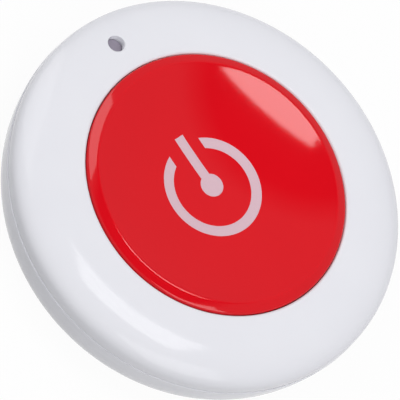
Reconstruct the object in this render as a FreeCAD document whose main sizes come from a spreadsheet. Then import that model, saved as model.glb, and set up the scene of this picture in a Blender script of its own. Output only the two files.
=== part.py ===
"""A round one-button wireless remote control, 60 mm across, built from its separate pieces.

Lengths are in millimetres and angles in degrees. The origin is the centre of the flat base,
+Z goes up through the button, and +Y goes from the centre to the light beside the button.
"""
import FreeCAD
import Part
import Sketcher
import math
import os
import re

Vector = FreeCAD.Vector

# The driving dimensions. Each is one cell of the sheet, and everything below is worked out from them.
SIZES = {
    # Housing, seen from outside
    "body_radius": 30.0,
    "base_round_width": 4.0,
    "base_round_height": 4.5,
    "lower_straight": 2.9,
    "upper_straight": 1.8,
    "crown_rise": 2.36,
    "crown_width": 10.0,
    "lip_round": 0.45,
    "seam_chamfer": 0.12,
    # Housing, inside
    "shell_wall": 1.6,
    "floor_wall": 1.5,
    "rim_land": 0.8,
    "tongue_depth": 1.1,
    "seam_fit": 0.06,
    "collar_wall": 1.6,
    "collar_depth": 2.2,
    "rib_wall": 1.0,
    "rib_embed": 0.3,
    # Button cap
    "cap_gap": 0.2,
    "cap_edge": 0.25,
    "band_width": 1.5,
    "band_rise": 0.55,
    "crease_edge": 0.1,
    "dish_depth": 2.65,
    "cap_wall": 1.05,
    "skirt_wall": 1.2,
    "flange_reach": 1.2,
    "flange_thick": 0.9,
    "flange_gap": 0.05,
    "boss_radius": 1.5,
    "boss_gap": 0.05,
    # Keys that stop the cap from turning
    "key_count": 3,
    "key_angle": 90.0,
    "key_width": 1.8,
    "key_gap": 0.2,
    "key_drop": 1.1,
    # Battery door, cell and contacts
    "door_recess": 0.2,
    "door_thick": 1.1,
    "door_gap": 0.15,
    "door_edge_chamfer": 0.2,
    "cup_wall": 1.25,
    "cup_clearance": 0.25,
    "cell_side_gap": 0.25,
    "cell_gap": 0.05,
    "cell_radius": 10.0,
    "cell_thick": 3.2,
    "cell_edge": 0.3,
    "cell_crimp": 0.9,
    "cell_groove": 0.4,
    "cell_step": 0.15,
    "well_wall": 2.35,
    "well_gap": 0.3,
    "tab_count": 3,
    "tab_reach": 1.2,
    "tab_thick": 0.8,
    "tab_sweep": 24.0,
    "tab_angle": 100.0,
    "tab_fit": 0.1,
    "tab_side_fit": 1.5,
    "door_turn": 30.0,
    "slot_length": 12.0,
    "slot_width": 1.8,
    "slot_depth": 0.6,
    "contact_room": 0.5,
    "contact_thick": 0.2,
    "contact_fit": 0.05,
    "negative_width": 3.0,
    "negative_foot": 3.0,
    "negative_reach": 7.5,
    "negative_pad": 1.5,
    "positive_width": 5.0,
    "positive_foot": 2.4,
    "positive_fit": 0.1,
    "positive_drop": 1.1,
    "positive_angle": 180.0,
    # Circuit board
    "board_thick": 1.0,
    "board_gap": 0.6,
    "board_post_count": 3,
    "board_post_radius": 1.2,
    "board_post_gap": 1.8,
    "board_post_angle": 90.0,
    "ledge_count": 6,
    "ledge_angle": 0.0,
    "ledge_reach": 1.7,
    "antenna_inset": 0.2,
    "antenna_width": 0.6,
    "antenna_thick": 0.1,
    "antenna_sweep": 280.0,
    "antenna_stub": 5.0,
    # Case screws and their bosses
    "screw_count": 3,
    "screw_angle": 30.0,
    "screw_clearance": 0.2,
    "boss_outer_radius": 2.2,
    "lower_boss_radius": 2.8,
    "pilot_radius": 0.85,
    "pilot_depth": 3.0,
    "thread_fit": 0.02,
    "screw_tip_gap": 0.4,
    "screw_hole_radius": 1.15,
    "counterbore_radius": 2.1,
    "counterbore_depth": 2.6,
    "head_radius": 1.9,
    "head_height": 1.2,
    "head_chamfer": 0.4,
    "cross_length": 2.0,
    "cross_width": 0.5,
    "cross_depth": 0.7,
    # Light
    "led_clearance": 1.0,
    "led_hole_radius": 1.25,
    "led_radius": 1.5,
    "led_stand": 0.4,
    "led_flange_radius": 1.9,
    "led_flange_thick": 0.9,
    "led_peek": 0.4,
    "led_tube_gap": 0.1,
    "led_tube_wall": 0.8,
    "led_tube_drop": 1.6,
    "lead_width": 0.5,
    "lead_pitch": 2.54,
    "lead_tail": 0.6,
    "lead_hole_radius": 0.45,
    "lead_in_lens": 1.9,
    "lead_knee": 0.7,
    "lead_under": 0.3,
    "post_outer": 1.1,
    "anode_inner": 0.7,
    "anvil_inner": 0.45,
    # Push switch under the cap
    "switch_size": 5.1,
    "switch_height": 1.5,
    "switch_corner": 0.5,
    "switch_floor": 0.25,
    "switch_cover_thick": 0.15,
    "cover_tab_width": 1.4,
    "cover_tab_drop": 0.6,
    "plunger_radius": 1.2,
    "plunger_fit": 0.1,
    "plunger_flange_gap": 0.3,
    "plunger_flange_thick": 0.2,
    "plunger_headroom": 0.08,
    "dome_radius": 1.8,
    "dome_side_gap": 0.2,
    "dome_rise": 0.35,
    "dome_sheet": 0.08,
    "dome_seat": 0.02,
    "dome_gap": 0.05,
    "terminal_width": 0.7,
    "terminal_length": 0.95,
    "terminal_thick": 0.15,
    "terminal_pitch": 3.7,
    # Chips, as bought: they keep their own sizes
    "chip_across": 9.5,
    "chip_along": -8.5,
    "chip_length": 4.9,
    "chip_width": 3.9,
    "chip_height": 1.35,
    "chip_lift": 0.12,
    "chip_chamfer": 0.35,
    "chip_dimple": 0.4,
    "chip_dimple_depth": 0.1,
    "pin_count": 4,
    "pin_pitch": 1.27,
    "pin_width": 0.42,
    "pin_reach": 1.05,
    "pin_foot": 0.5,
    "pin_sheet": 0.2,
    "saw_across": -10.0,
    "saw_along": 9.0,
    "saw_length": 5.0,
    "saw_width": 3.8,
    "saw_height": 1.1,
    "saw_lid_inset": 0.35,
    "saw_lid_thick": 0.25,
    "transistor_across": -9.5,
    "transistor_along": -8.5,
    "transistor_length": 2.9,
    "transistor_width": 1.3,
    "transistor_height": 0.95,
    "transistor_lift": 0.08,
    "transistor_pitch": 1.9,
    "leg_width": 0.4,
    "leg_reach": 0.55,
    "leg_thick": 0.15,
    "small_length": 2.0,
    "small_width": 1.25,
    "resistor_height": 0.5,
    "capacitor_height": 0.85,
    "small_pitch": 3.0,
    "small_count": 4,
    "resistor_across": 9.0,
    "resistor_along": 7.0,
    "capacitor_across": -4.5,
    "capacitor_along": -14.5,
}

# Heights and radii that follow from the sizes.
PLACES = {
    "parting": "base_round_height + lower_straight",
    "crown_base": "parting + upper_straight",
    "opening_top": "crown_base + crown_rise",
    "opening_radius": "body_radius - crown_width",
    "crown_centre": "opening_radius + lip_round",
    "inner_radius": "body_radius - shell_wall",
    "ceiling": "opening_top - shell_wall",
    "ceiling_radius": "inner_radius - 1.5 * shell_wall",
    "tongue_radius": "body_radius - rim_land - seam_fit",
    "collar_radius": "opening_radius + collar_wall",
    "collar_end": "opening_top - collar_depth",
    "cap_radius": "opening_radius - cap_gap",
    "crease_radius": "cap_radius - band_width",
    "crease_top": "opening_top + band_rise",
    "dish_radius": "(crease_radius^2 + dish_depth^2) / (2 * dish_depth)",
    "dish_centre": "crease_top - dish_depth + dish_radius",
    "skirt_inner": "cap_radius - skirt_wall",
    "flange_top": "collar_end - flange_gap",
    "flange_bottom": "flange_top - flange_thick",
    "flange_radius": "opening_radius + flange_reach",
    "boss_bottom": "switch_top + boss_gap",
    "floor_radius": "body_radius - base_round_width",
    "door_inner": "door_recess + door_thick",
    "cell_bottom": "door_inner + cell_gap",
    "cell_top": "cell_bottom + cell_thick",
    "cup_inner": "cell_radius + cell_side_gap",
    "door_radius": "cup_inner + cup_wall",
    "cup_top": "cell_top - positive_drop - cup_clearance",
    "well_radius": "door_radius + door_gap",
    "well_outer": "well_radius + well_wall",
    "well_top": "board_bottom - well_gap",
    "tab_top": "cup_top - cell_gap",
    "tab_bottom": "tab_top - tab_thick",
    "tab_radius": "door_radius + tab_reach",
    "board_bottom": "cell_top + contact_room",
    "board_top": "board_bottom + board_thick",
    "board_radius": "inner_radius - board_gap",
    "board_post_circle": "well_outer + board_post_gap + board_post_radius",
    "ledge_inner": "inner_radius - ledge_reach",
    "antenna_radius": "board_radius - antenna_inset - antenna_width",
    "dome_base": "board_top + switch_floor + dome_seat",
    "dome_top": "dome_base + dome_rise",
    "plunger_bottom": "dome_top + dome_gap",
    "switch_bore": "dome_radius + dome_side_gap",
    "switch_rim": "plunger_bottom + plunger_flange_thick + plunger_headroom",
    "switch_top": "board_top + switch_height",
    "led_tip": "ceiling + led_peek",
    "led_base": "board_top + led_stand",
    "led_shoulder": "led_tip - led_radius",
    "led_tube_radius": "led_radius + led_tube_gap",
    "led_circle": "flange_radius + led_clearance + led_tube_radius + led_tube_wall",
    "screw_circle": "flange_radius + screw_clearance + boss_outer_radius",
    "screw_x": "screw_circle * cos(screw_angle)",
    "screw_y": "screw_circle * sin(screw_angle)",
    "shank_radius": "pilot_radius - thread_fit",
    "screw_tip": "board_top + pilot_depth - screw_tip_gap",
    "head_bottom": "counterbore_depth - head_height",
}

doc = FreeCAD.newDocument("Remote")
sheet = doc.addObject("Spreadsheet::Sheet", "Sizes")
for row, (alias, number) in enumerate(SIZES.items(), start=1):
    sheet.set("A%d" % row, alias)
    sheet.set("B%d" % row, str(number))
    sheet.setAlias("B%d" % row, alias)
doc.recompute()

nodes = []
cuts = []


def in_cells(text):
    """Turn an expression on the names above into one on the sheet's cells."""
    def cell(found):
        word = found.group(0)
        if word in PLACES:
            return "(" + in_cells(PLACES[word]) + ")"
        if word in SIZES:
            return "Sizes." + word
        return word
    return re.sub(r"[a-z]\w+", cell, text)


def value(text):
    """The number that an expression on the names above comes to."""
    return float(sheet.evalExpression(in_cells(text)))


def bind(thing, field, text):
    thing.setExpression(field, in_cells(text))


def new_body(label):
    """A sub-part: one body of the document, kept as a node under its label."""
    body = doc.addObject("PartDesign::Body", label)
    body.Label = label
    nodes.append(body)
    return body


def origin_part(body, role):
    return [part for part in body.Origin.OriginFeatures if part.Role == role][0]


def sketch_on(body, name, plane="XY_Plane", at=("0", "0", "0"), turn="0"):
    """A sketch on one of the body's own planes, moved to a place and turned about +Z."""
    sketch = body.newObject("Sketcher::SketchObject", name)
    sketch.AttachmentSupport = [(origin_part(body, plane), "")]
    sketch.MapMode = "FlatFace"
    upright = plane == "XZ_Plane"
    spin = Vector(0, 1, 0) if upright else Vector(0, 0, 1)
    sketch.AttachmentOffset = FreeCAD.Placement(Vector(), FreeCAD.Rotation(spin, 0.0))
    x, y, z = at
    across = {"x": x, "y": z, "z": "-(" + y + ")"} if upright else {"x": x, "y": y, "z": z}
    for axis, text in across.items():
        bind(sketch, "AttachmentOffset.Base." + axis, text)
    bind(sketch, "AttachmentOffset.Rotation.Angle", turn)
    return sketch


def hold_distance(sketch, kind, line, point, text):
    """Hold one coordinate of a point at an expression, or on the axis where it is nought."""
    if text == "0":
        axis = -2 if kind == "DistanceX" else -1
        sketch.addConstraint(Sketcher.Constraint("PointOnObject", line, point, axis))
        return
    index = sketch.addConstraint(Sketcher.Constraint(kind, -1, 1, line, point, value(text)))
    bind(sketch, "Constraints[%d]" % index, text)


def hold(sketch, line, point, place):
    hold_distance(sketch, "DistanceX", line, point, place[0])
    hold_distance(sketch, "DistanceY", line, point, place[1])


def round_side(sketch, start, end, centre):
    """A side that is the shorter arc round a centre. Returns its number and its own two ends."""
    middle = Vector(value(centre[0]), value(centre[1]), 0)
    first, last = [math.atan2(point.y - middle.y, point.x - middle.x) for point in (start, end)]
    ends = (1, 2)
    if (last - first) % (2 * math.pi) > math.pi:
        first, last, ends = last, first, (2, 1)
    circle = Part.Circle(middle, Vector(0, 0, 1), (start - middle).Length)
    side = sketch.addGeometry(Part.ArcOfCircle(circle, first, last), False)
    hold_distance(sketch, "DistanceX", side, 3, centre[0])
    return side, ends


def oval_corners(centre, across, upward, first, last, steps):
    """Corners that follow a level oval from one angle to the next, both ends included."""
    corners = []
    for step in range(steps + 1):
        angle = first + (last - first) * step / steps
        corners.append(("%s + (%s) * cos(%g)" % (centre[0], across, angle),
                        "%s + (%s) * sin(%g)" % (centre[1], upward, angle)))
    return corners


def outline(sketch, corners, rounds=None):
    """A closed outline through the corners, each a pair of expressions.

    rounds gives the centre of the arc for a side by its number: side 0 leaves corner 0.
    """
    rounds = rounds or {}
    points = [Vector(value(x), value(y), 0) for x, y in corners]
    sides = []
    for number, start in enumerate(points):
        end = points[(number + 1) % len(points)]
        if number in rounds:
            sides.append(round_side(sketch, start, end, rounds[number]))
        else:
            sides.append((sketch.addGeometry(Part.LineSegment(start, end), False), (1, 2)))
    for number, (side, ends) in enumerate(sides):
        before, ends_before = sides[number - 1]
        sketch.addConstraint(Sketcher.Constraint("Coincident", before, ends_before[1], side, ends[0]))
        hold(sketch, side, ends[0], corners[number])


def rectangle(sketch, centre, length, width):
    """A rectangle of the given length along X and width along Y."""
    x, y = centre
    low_x, high_x = "%s - (%s) / 2" % (x, length), "%s + (%s) / 2" % (x, length)
    low_y, high_y = "%s - (%s) / 2" % (y, width), "%s + (%s) / 2" % (y, width)
    outline(sketch, [(low_x, low_y), (high_x, low_y), (high_x, high_y), (low_x, high_y)])


def circle(sketch, radius, centre=("0", "0")):
    middle = Vector(value(centre[0]), value(centre[1]), 0)
    ring = sketch.addGeometry(Part.Circle(middle, Vector(0, 0, 1), value(radius)), False)
    hold(sketch, ring, 3, centre)
    index = sketch.addConstraint(Sketcher.Constraint("Radius", ring, value(radius)))
    bind(sketch, "Constraints[%d]" % index, radius)


def revolve(body, sketch, name, sweep="360", cut=False):
    """Turn a sketch about its own upright axis, to add or to cut."""
    feature = body.newObject("PartDesign::Groove" if cut else "PartDesign::Revolution", name)
    feature.Profile = sketch
    feature.ReferenceAxis = (sketch, ["V_Axis"])
    bind(feature, "Angle", sweep)
    if cut:
        cuts.append(feature)
    return feature


def pad(body, sketch, name, length, centred=False):
    """Raise a sketch along its normal, or by half the length to each side."""
    feature = body.newObject("PartDesign::Pad", name)
    feature.Profile = sketch
    feature.Midplane = centred
    bind(feature, "Length", length)
    return feature


def pocket(body, sketch, name, length):
    """Cut a sketch into the body along the sketch's normal."""
    feature = body.newObject("PartDesign::Pocket", name)
    feature.Profile = sketch
    feature.Reversed = True
    bind(feature, "Length", length)
    cuts.append(feature)
    return feature


def around(body, name, features, count):
    """Repeat features evenly about +Z."""
    pattern = body.newObject("PartDesign::PolarPattern", name)
    pattern.Originals = features
    pattern.Axis = (origin_part(body, "Z_Axis"), [""])
    pattern.Angle = 360
    bind(pattern, "Occurrences", count)
    body.Tip = pattern
    return pattern


def along(body, name, features, role, length, count):
    """Repeat features in a row of the given length."""
    pattern = body.newObject("PartDesign::LinearPattern", name)
    pattern.Originals = features
    pattern.Direction = (origin_part(body, role), [""])
    bind(pattern, "Length", length)
    bind(pattern, "Occurrences", count)
    body.Tip = pattern
    return pattern


def put(body, x, y, z):
    """Place a body that is drawn about its own origin."""
    for axis, text in (("x", x), ("y", y), ("z", z)):
        bind(body, "Placement.Base." + axis, text)


def screw_rib(body, corners):
    """The rib from a screw boss to the outer wall."""
    sketch = sketch_on(body, "RibOutline", "XZ_Plane", turn="screw_angle")
    outline(sketch, corners)
    return pad(body, sketch, "Rib", "rib_wall", centred=True)


def top_shell():
    """The upper moulding: side wall, domed crown, the button's opening and its collar."""
    body = new_body("top_shell")
    section = sketch_on(body, "Section", "XZ_Plane")
    lip = oval_corners(("crown_centre", "opening_top - lip_round"), "lip_round", "lip_round", 180, 90, 2)
    crown = oval_corners(("crown_centre", "crown_base"), "body_radius - crown_centre", "crown_rise", 90, 0, 6)
    outline(section, lip + crown[1:] + [
        ("body_radius", "parting + seam_chamfer"),
        ("body_radius - seam_chamfer", "parting"),
        ("tongue_radius", "parting"),
        ("tongue_radius", "parting - tongue_depth"),
        ("inner_radius", "parting - tongue_depth"),
        ("inner_radius", "crown_base"),
        ("ceiling_radius", "ceiling"),
        ("collar_radius", "ceiling"),
        ("collar_radius", "collar_end"),
        ("opening_radius", "collar_end"),
    ])
    revolve(body, section, "Wall")

    boss = sketch_on(body, "BossOutline", at=("0", "0", "board_top"), turn="screw_angle")
    circle(boss, "boss_outer_radius", ("screw_circle", "0"))
    bosses = pad(body, boss, "Boss", "ceiling - board_top")
    low = "parting - tongue_depth / 2"
    rib = screw_rib(body, [("screw_circle", low), ("inner_radius + rib_embed", low),
                           ("inner_radius + rib_embed", "crown_base"),
                           ("ceiling_radius", "ceiling + rib_embed"), ("screw_circle", "ceiling + rib_embed")])
    pilot = sketch_on(body, "PilotOutline", at=("0", "0", "board_top"), turn="screw_angle")
    circle(pilot, "pilot_radius", ("screw_circle", "0"))
    pilots = pocket(body, pilot, "Pilot", "pilot_depth")
    around(body, "Bosses", [bosses, rib, pilots], "screw_count")

    key = sketch_on(body, "KeyOutline", at=("0", "0", "collar_end - key_drop"), turn="key_angle")
    outline(key, [("opening_radius + key_gap", "-key_width / 2"), ("collar_radius", "-key_width / 2"),
                  ("collar_radius", "key_width / 2"), ("opening_radius + key_gap", "key_width / 2")])
    keys = pad(body, key, "Key", "key_drop + collar_wall / 2")
    around(body, "Keys", [keys], "key_count")

    tube = sketch_on(body, "TubeOutline", at=("0", "led_circle", "ceiling - led_tube_drop"))
    circle(tube, "led_tube_radius + led_tube_wall")
    pad(body, tube, "LightTube", "led_tube_drop")
    bore = sketch_on(body, "TubeBore", at=("0", "led_circle", "ceiling - led_tube_drop"))
    circle(bore, "led_tube_radius")
    pocket(body, bore, "LightBore", "led_tube_drop")
    hole = sketch_on(body, "LightHoleOutline", at=("0", "led_circle", "ceiling - led_tube_drop"))
    circle(hole, "led_hole_radius")
    pocket(body, hole, "LightHole", "led_tube_drop + crown_rise")


def bottom_shell():
    """The lower moulding: rounded base, rim, the battery well and what the board stands on."""
    body = new_body("bottom_shell")
    section = sketch_on(body, "Section", "XZ_Plane")
    rim = "body_radius - rim_land"
    corner = ("floor_radius", "base_round_height")
    outside = oval_corners(corner, "base_round_width", "base_round_height", -90, 0, 4)[1:]
    inside = oval_corners(corner, "base_round_width - shell_wall", "base_round_height - floor_wall", 0, -90, 2)
    outline(section, [("well_radius", "0"), ("floor_radius", "0")] + outside + [
        ("body_radius", "parting - seam_chamfer"),
        ("body_radius - seam_chamfer", "parting"),
        (rim, "parting"),
        (rim, "parting - tongue_depth - seam_fit"),
        ("inner_radius", "parting - tongue_depth - seam_fit"),
    ] + inside + [
        ("well_outer", "floor_wall"),
        ("well_outer", "well_top"),
        ("well_radius", "well_top"),
    ])
    revolve(body, section, "Wall")

    boss = sketch_on(body, "BossOutline", at=("0", "0", "floor_wall / 2"), turn="screw_angle")
    circle(boss, "lower_boss_radius", ("screw_circle", "0"))
    bosses = pad(body, boss, "Boss", "board_bottom - floor_wall / 2")
    foot = "floor_wall / 2"
    middle = "body_radius - shell_wall / 2"
    rib = screw_rib(body, [("screw_circle", foot), ("ledge_inner", foot), (middle, "base_round_height"),
                           ("screw_circle", "base_round_height")])
    hole = sketch_on(body, "HoleOutline", turn="screw_angle")
    circle(hole, "screw_hole_radius", ("screw_circle", "0"))
    holes = pocket(body, hole, "Hole", "board_bottom")
    bore = sketch_on(body, "CounterboreOutline", turn="screw_angle")
    circle(bore, "counterbore_radius", ("screw_circle", "0"))
    bores = pocket(body, bore, "Counterbore", "counterbore_depth")
    around(body, "Bosses", [bosses, rib, holes, bores], "screw_count")

    post = sketch_on(body, "PostOutline", at=("0", "0", "floor_wall / 2"), turn="board_post_angle")
    circle(post, "board_post_radius", ("board_post_circle", "0"))
    posts = pad(body, post, "Post", "board_bottom - floor_wall / 2")
    around(body, "Posts", [posts], "board_post_count")

    ledge = sketch_on(body, "LedgeOutline", "XZ_Plane", turn="ledge_angle")
    outline(ledge, [("ledge_inner", foot), (middle, "base_round_height"), (middle, "board_bottom"),
                    ("ledge_inner", "board_bottom")])
    ledges = pad(body, ledge, "Ledge", "rib_wall", centred=True)
    around(body, "Ledges", [ledges], "ledge_count")

    reach = "tab_radius + tab_fit"
    run = sketch_on(body, "RunOutline", "XZ_Plane", turn="tab_angle - 2 * tab_side_fit - door_turn")
    outline(run, [("cup_inner", "tab_bottom - tab_fit"), (reach, "tab_bottom - tab_fit"),
                  (reach, "tab_top + tab_fit"), ("cup_inner", "tab_top + tab_fit")])
    runs = revolve(body, run, "TabRun", "tab_sweep + 3 * tab_side_fit + door_turn", cut=True)
    around(body, "TabRuns", [runs], "tab_count")
    entry = sketch_on(body, "EntryOutline", "XZ_Plane", turn="tab_angle - tab_side_fit - door_turn")
    outline(entry, [("cup_inner", "-tab_fit"), (reach + " + tab_fit", "-tab_fit"),
                    (reach + " + tab_fit", "tab_top"), ("cup_inner", "tab_top")])
    entries = revolve(body, entry, "TabEntry", "tab_sweep + 2 * tab_side_fit", cut=True)
    around(body, "TabEntries", [entries], "tab_count")


def button_cap():
    """The dished button: raised rim, crease, shallow bowl, skirt and retaining flange."""
    body = new_body("button_cap")
    section = sketch_on(body, "Section", "XZ_Plane")
    across = "boss_radius + (skirt_inner - boss_radius) * %g"
    underside = [(across % share, "dish_centre - sqrt((dish_radius + cap_wall)^2 - (%s)^2)" % (across % share))
                 for share in (1, 0.5, 0)]
    outline(section, [
        ("0", "crease_top - dish_depth"),
        ("crease_radius", "crease_top"),
        ("crease_radius + crease_edge", "crease_top"),
        ("cap_radius - cap_edge", "opening_top + cap_edge * band_rise / band_width"),
        ("cap_radius", "opening_top - cap_edge / 2"),
        ("cap_radius", "flange_top"),
        ("flange_radius", "flange_top"),
        ("flange_radius", "flange_bottom"),
        ("skirt_inner", "flange_bottom"),
    ] + underside + [
        ("boss_radius", "boss_bottom"),
        ("0", "boss_bottom"),
    ], rounds={0: ("0", "dish_centre")})
    revolve(body, section, "Wall")

    notch = sketch_on(body, "NotchOutline", at=("0", "0", "flange_bottom"), turn="key_angle")
    half = "key_width / 2 + key_gap"
    outline(notch, [("opening_radius", "-(%s)" % half), ("flange_radius + key_gap", "-(%s)" % half),
                    ("flange_radius + key_gap", half), ("opening_radius", half)])
    notches = pocket(body, notch, "Notch", "flange_thick")
    around(body, "Notches", [notches], "key_count")


def battery_door():
    """The round door: disc, cup round the cell, three bayonet tabs and a coin slot."""
    body = new_body("battery_door")
    section = sketch_on(body, "Section", "XZ_Plane")
    outline(section, [
        ("0", "door_recess"),
        ("door_radius - door_edge_chamfer", "door_recess"),
        ("door_radius", "door_recess + door_edge_chamfer"),
        ("door_radius", "cup_top"),
        ("cup_inner", "cup_top"),
        ("cup_inner", "door_inner"),
        ("0", "door_inner"),
    ])
    revolve(body, section, "Wall")
    tab = sketch_on(body, "TabOutline", "XZ_Plane", turn="tab_angle")
    outline(tab, [("door_radius - cup_wall / 2", "tab_bottom"), ("tab_radius", "tab_bottom"),
                  ("tab_radius", "tab_top"), ("door_radius - cup_wall / 2", "tab_top")])
    tabs = revolve(body, tab, "Tab", "tab_sweep")
    around(body, "Tabs", [tabs], "tab_count")
    slot = sketch_on(body, "SlotOutline", at=("0", "0", "door_recess"))
    rectangle(slot, ("0", "0"), "slot_length", "slot_width")
    pocket(body, slot, "CoinSlot", "slot_depth")


def coin_cell():
    """The sealed coin cell: the can with its crimped rim, and the smaller cap facing the board."""
    body = new_body("coin_cell")
    section = sketch_on(body, "Section", "XZ_Plane")
    crimp = "cell_radius - cell_crimp"
    rim = "cell_top - cell_step"
    outline(section, [
        ("0", "cell_bottom"),
        ("cell_radius - cell_edge", "cell_bottom"),
        ("cell_radius", "cell_bottom + cell_edge"),
        ("cell_radius", rim + " - cell_edge"),
        (crimp, rim),
        (crimp + " - cell_groove", rim + " - cell_groove"),
        (crimp + " - cell_groove", "cell_top"),
        ("0", "cell_top"),
    ])
    revolve(body, section, "Can")


def positive_clip():
    """The bent strip that touches the can's side, soldered under the board."""
    body = new_body("positive_clip")
    bend = sketch_on(body, "Bend", "XZ_Plane", turn="positive_angle")
    inner = "cell_radius + positive_fit"
    outer = inner + " + contact_thick"
    outline(bend, [
        (inner, "cell_top - positive_drop"),
        (outer, "cell_top - positive_drop"),
        (outer, "board_bottom - contact_thick"),
        (outer + " + positive_foot", "board_bottom - contact_thick"),
        (outer + " + positive_foot", "board_bottom"),
        (inner, "board_bottom"),
    ])
    pad(body, bend, "Strip", "positive_width", centred=True)


def negative_contact():
    """The sprung strip that presses on the cell's cap, soldered under the board at one end."""
    body = new_body("negative_contact")
    bend = sketch_on(body, "Bend", "XZ_Plane")
    touch = "cell_top + contact_fit"
    outline(bend, [
        ("-negative_reach", "board_bottom - contact_thick"),
        ("negative_foot - negative_reach", "board_bottom - contact_thick"),
        ("-negative_pad", touch),
        ("negative_pad", touch),
        ("negative_pad", touch + " + contact_thick"),
        ("-negative_pad", touch + " + contact_thick"),
        ("negative_foot - negative_reach", "board_bottom"),
        ("-negative_reach", "board_bottom"),
    ])
    pad(body, bend, "Strip", "negative_width", centred=True)


def circuit_board():
    """The round board, with its screw holes and the holes for the light's leads."""
    body = new_body("circuit_board")
    disc = sketch_on(body, "Disc", at=("0", "0", "board_bottom"))
    circle(disc, "board_radius")
    pad(body, disc, "Sheet", "board_thick")
    hole = sketch_on(body, "ScrewHoleOutline", at=("0", "0", "board_bottom"), turn="screw_angle")
    circle(hole, "screw_hole_radius", ("screw_circle", "0"))
    holes = pocket(body, hole, "ScrewHole", "board_thick")
    around(body, "ScrewHoles", [holes], "screw_count")
    lead = sketch_on(body, "LeadHoleOutline", at=("0", "led_circle", "board_bottom"))
    circle(lead, "lead_hole_radius", ("-lead_pitch / 2", "0"))
    circle(lead, "lead_hole_radius", ("lead_pitch / 2", "0"))
    pocket(body, lead, "LeadHoles", "board_thick")


def antenna_loop():
    """The copper loop near the board's edge, open at the light, with a stub inward at each end."""
    body = new_body("antenna_loop")
    start = "90 + (360 - antenna_sweep) / 2"
    track = sketch_on(body, "Track", "XZ_Plane", turn=start)
    outer = "antenna_radius + antenna_width"
    top = "board_top + antenna_thick"
    outline(track, [("antenna_radius", "board_top"), (outer, "board_top"),
                    (outer, top), ("antenna_radius", top)])
    revolve(body, track, "Loop", "antenna_sweep")
    for name, turn, side in (("FirstStub", start, "1"), ("LastStub", start + " + antenna_sweep", "-1")):
        stub = sketch_on(body, name + "Outline", at=("0", "0", "board_top"), turn=turn)
        rectangle(stub, ("antenna_radius + (antenna_width - antenna_stub) / 2",
                         side + " * antenna_width / 2"), "antenna_stub + antenna_width", "antenna_width")
        pad(body, stub, name, "antenna_thick")


def switch_square(sketch):
    """The switch's square outline with its corners cut."""
    half = "switch_size / 2"
    cut = "switch_size / 2 - switch_corner"
    outline(sketch, [("-" + half, "switch_corner - " + half), ("switch_corner - " + half, "-" + half),
                     (cut, "-" + half), (half, "switch_corner - " + half), (half, cut), (cut, half),
                     ("switch_corner - " + half, half), ("-" + half, cut)])


def push_switch():
    """The small push switch: housing, terminals, snap dome, plunger and cover plate."""
    housing = new_body("switch_housing")
    square = sketch_on(housing, "Square", at=("0", "0", "board_top"))
    switch_square(square)
    pad(housing, square, "Block", "switch_rim - board_top")
    bore = sketch_on(housing, "BoreOutline", at=("0", "0", "board_top + switch_floor"))
    circle(bore, "switch_bore")
    pocket(housing, bore, "Bore", "switch_rim - board_top - switch_floor")

    terminals = new_body("switch_terminals")
    feet = sketch_on(terminals, "Feet", at=("0", "0", "board_top"))
    for x in ("(switch_size + terminal_length) / 2", "-(switch_size + terminal_length) / 2"):
        for y in ("terminal_pitch / 2", "-terminal_pitch / 2"):
            rectangle(feet, (x, y), "terminal_length", "terminal_width")
    pad(terminals, feet, "Sheet", "terminal_thick")

    dome = new_body("switch_dome")
    section = sketch_on(dome, "Section", "XZ_Plane")
    shoulder = ("dome_radius / 2", "dome_base + dome_rise * 3 / 4")
    outline(section, [("0", "dome_top"), shoulder, ("dome_radius", "dome_base"),
                      ("dome_radius - 2 * dome_sheet", "dome_base"),
                      (shoulder[0], shoulder[1] + " - dome_sheet"), ("0", "dome_top - dome_sheet")])
    revolve(dome, section, "Sheet")

    plunger = new_body("switch_plunger")
    section = sketch_on(plunger, "Section", "XZ_Plane")
    shoulder = "plunger_bottom + plunger_flange_thick"
    flange = "switch_bore - plunger_flange_gap"
    outline(section, [("0", "plunger_bottom"), (flange, "plunger_bottom"),
                      (flange, shoulder), ("plunger_radius", shoulder),
                      ("plunger_radius", "switch_top"), ("0", "switch_top")])
    revolve(plunger, section, "Turned")

    cover = new_body("switch_cover")
    square = sketch_on(cover, "Square", at=("0", "0", "switch_rim"))
    switch_square(square)
    pad(cover, square, "Sheet", "switch_cover_thick")
    tabs = sketch_on(cover, "TabOutline", at=("0", "0", "switch_rim - cover_tab_drop"))
    for x in ("(switch_size + switch_cover_thick) / 2", "-(switch_size + switch_cover_thick) / 2"):
        rectangle(tabs, (x, "0"), "switch_cover_thick", "cover_tab_width")
    pad(cover, tabs, "Tabs", "cover_tab_drop + switch_cover_thick")
    hole = sketch_on(cover, "HoleOutline", at=("0", "0", "switch_rim"))
    circle(hole, "plunger_radius + plunger_fit")
    pocket(cover, hole, "Hole", "switch_cover_thick")


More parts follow.
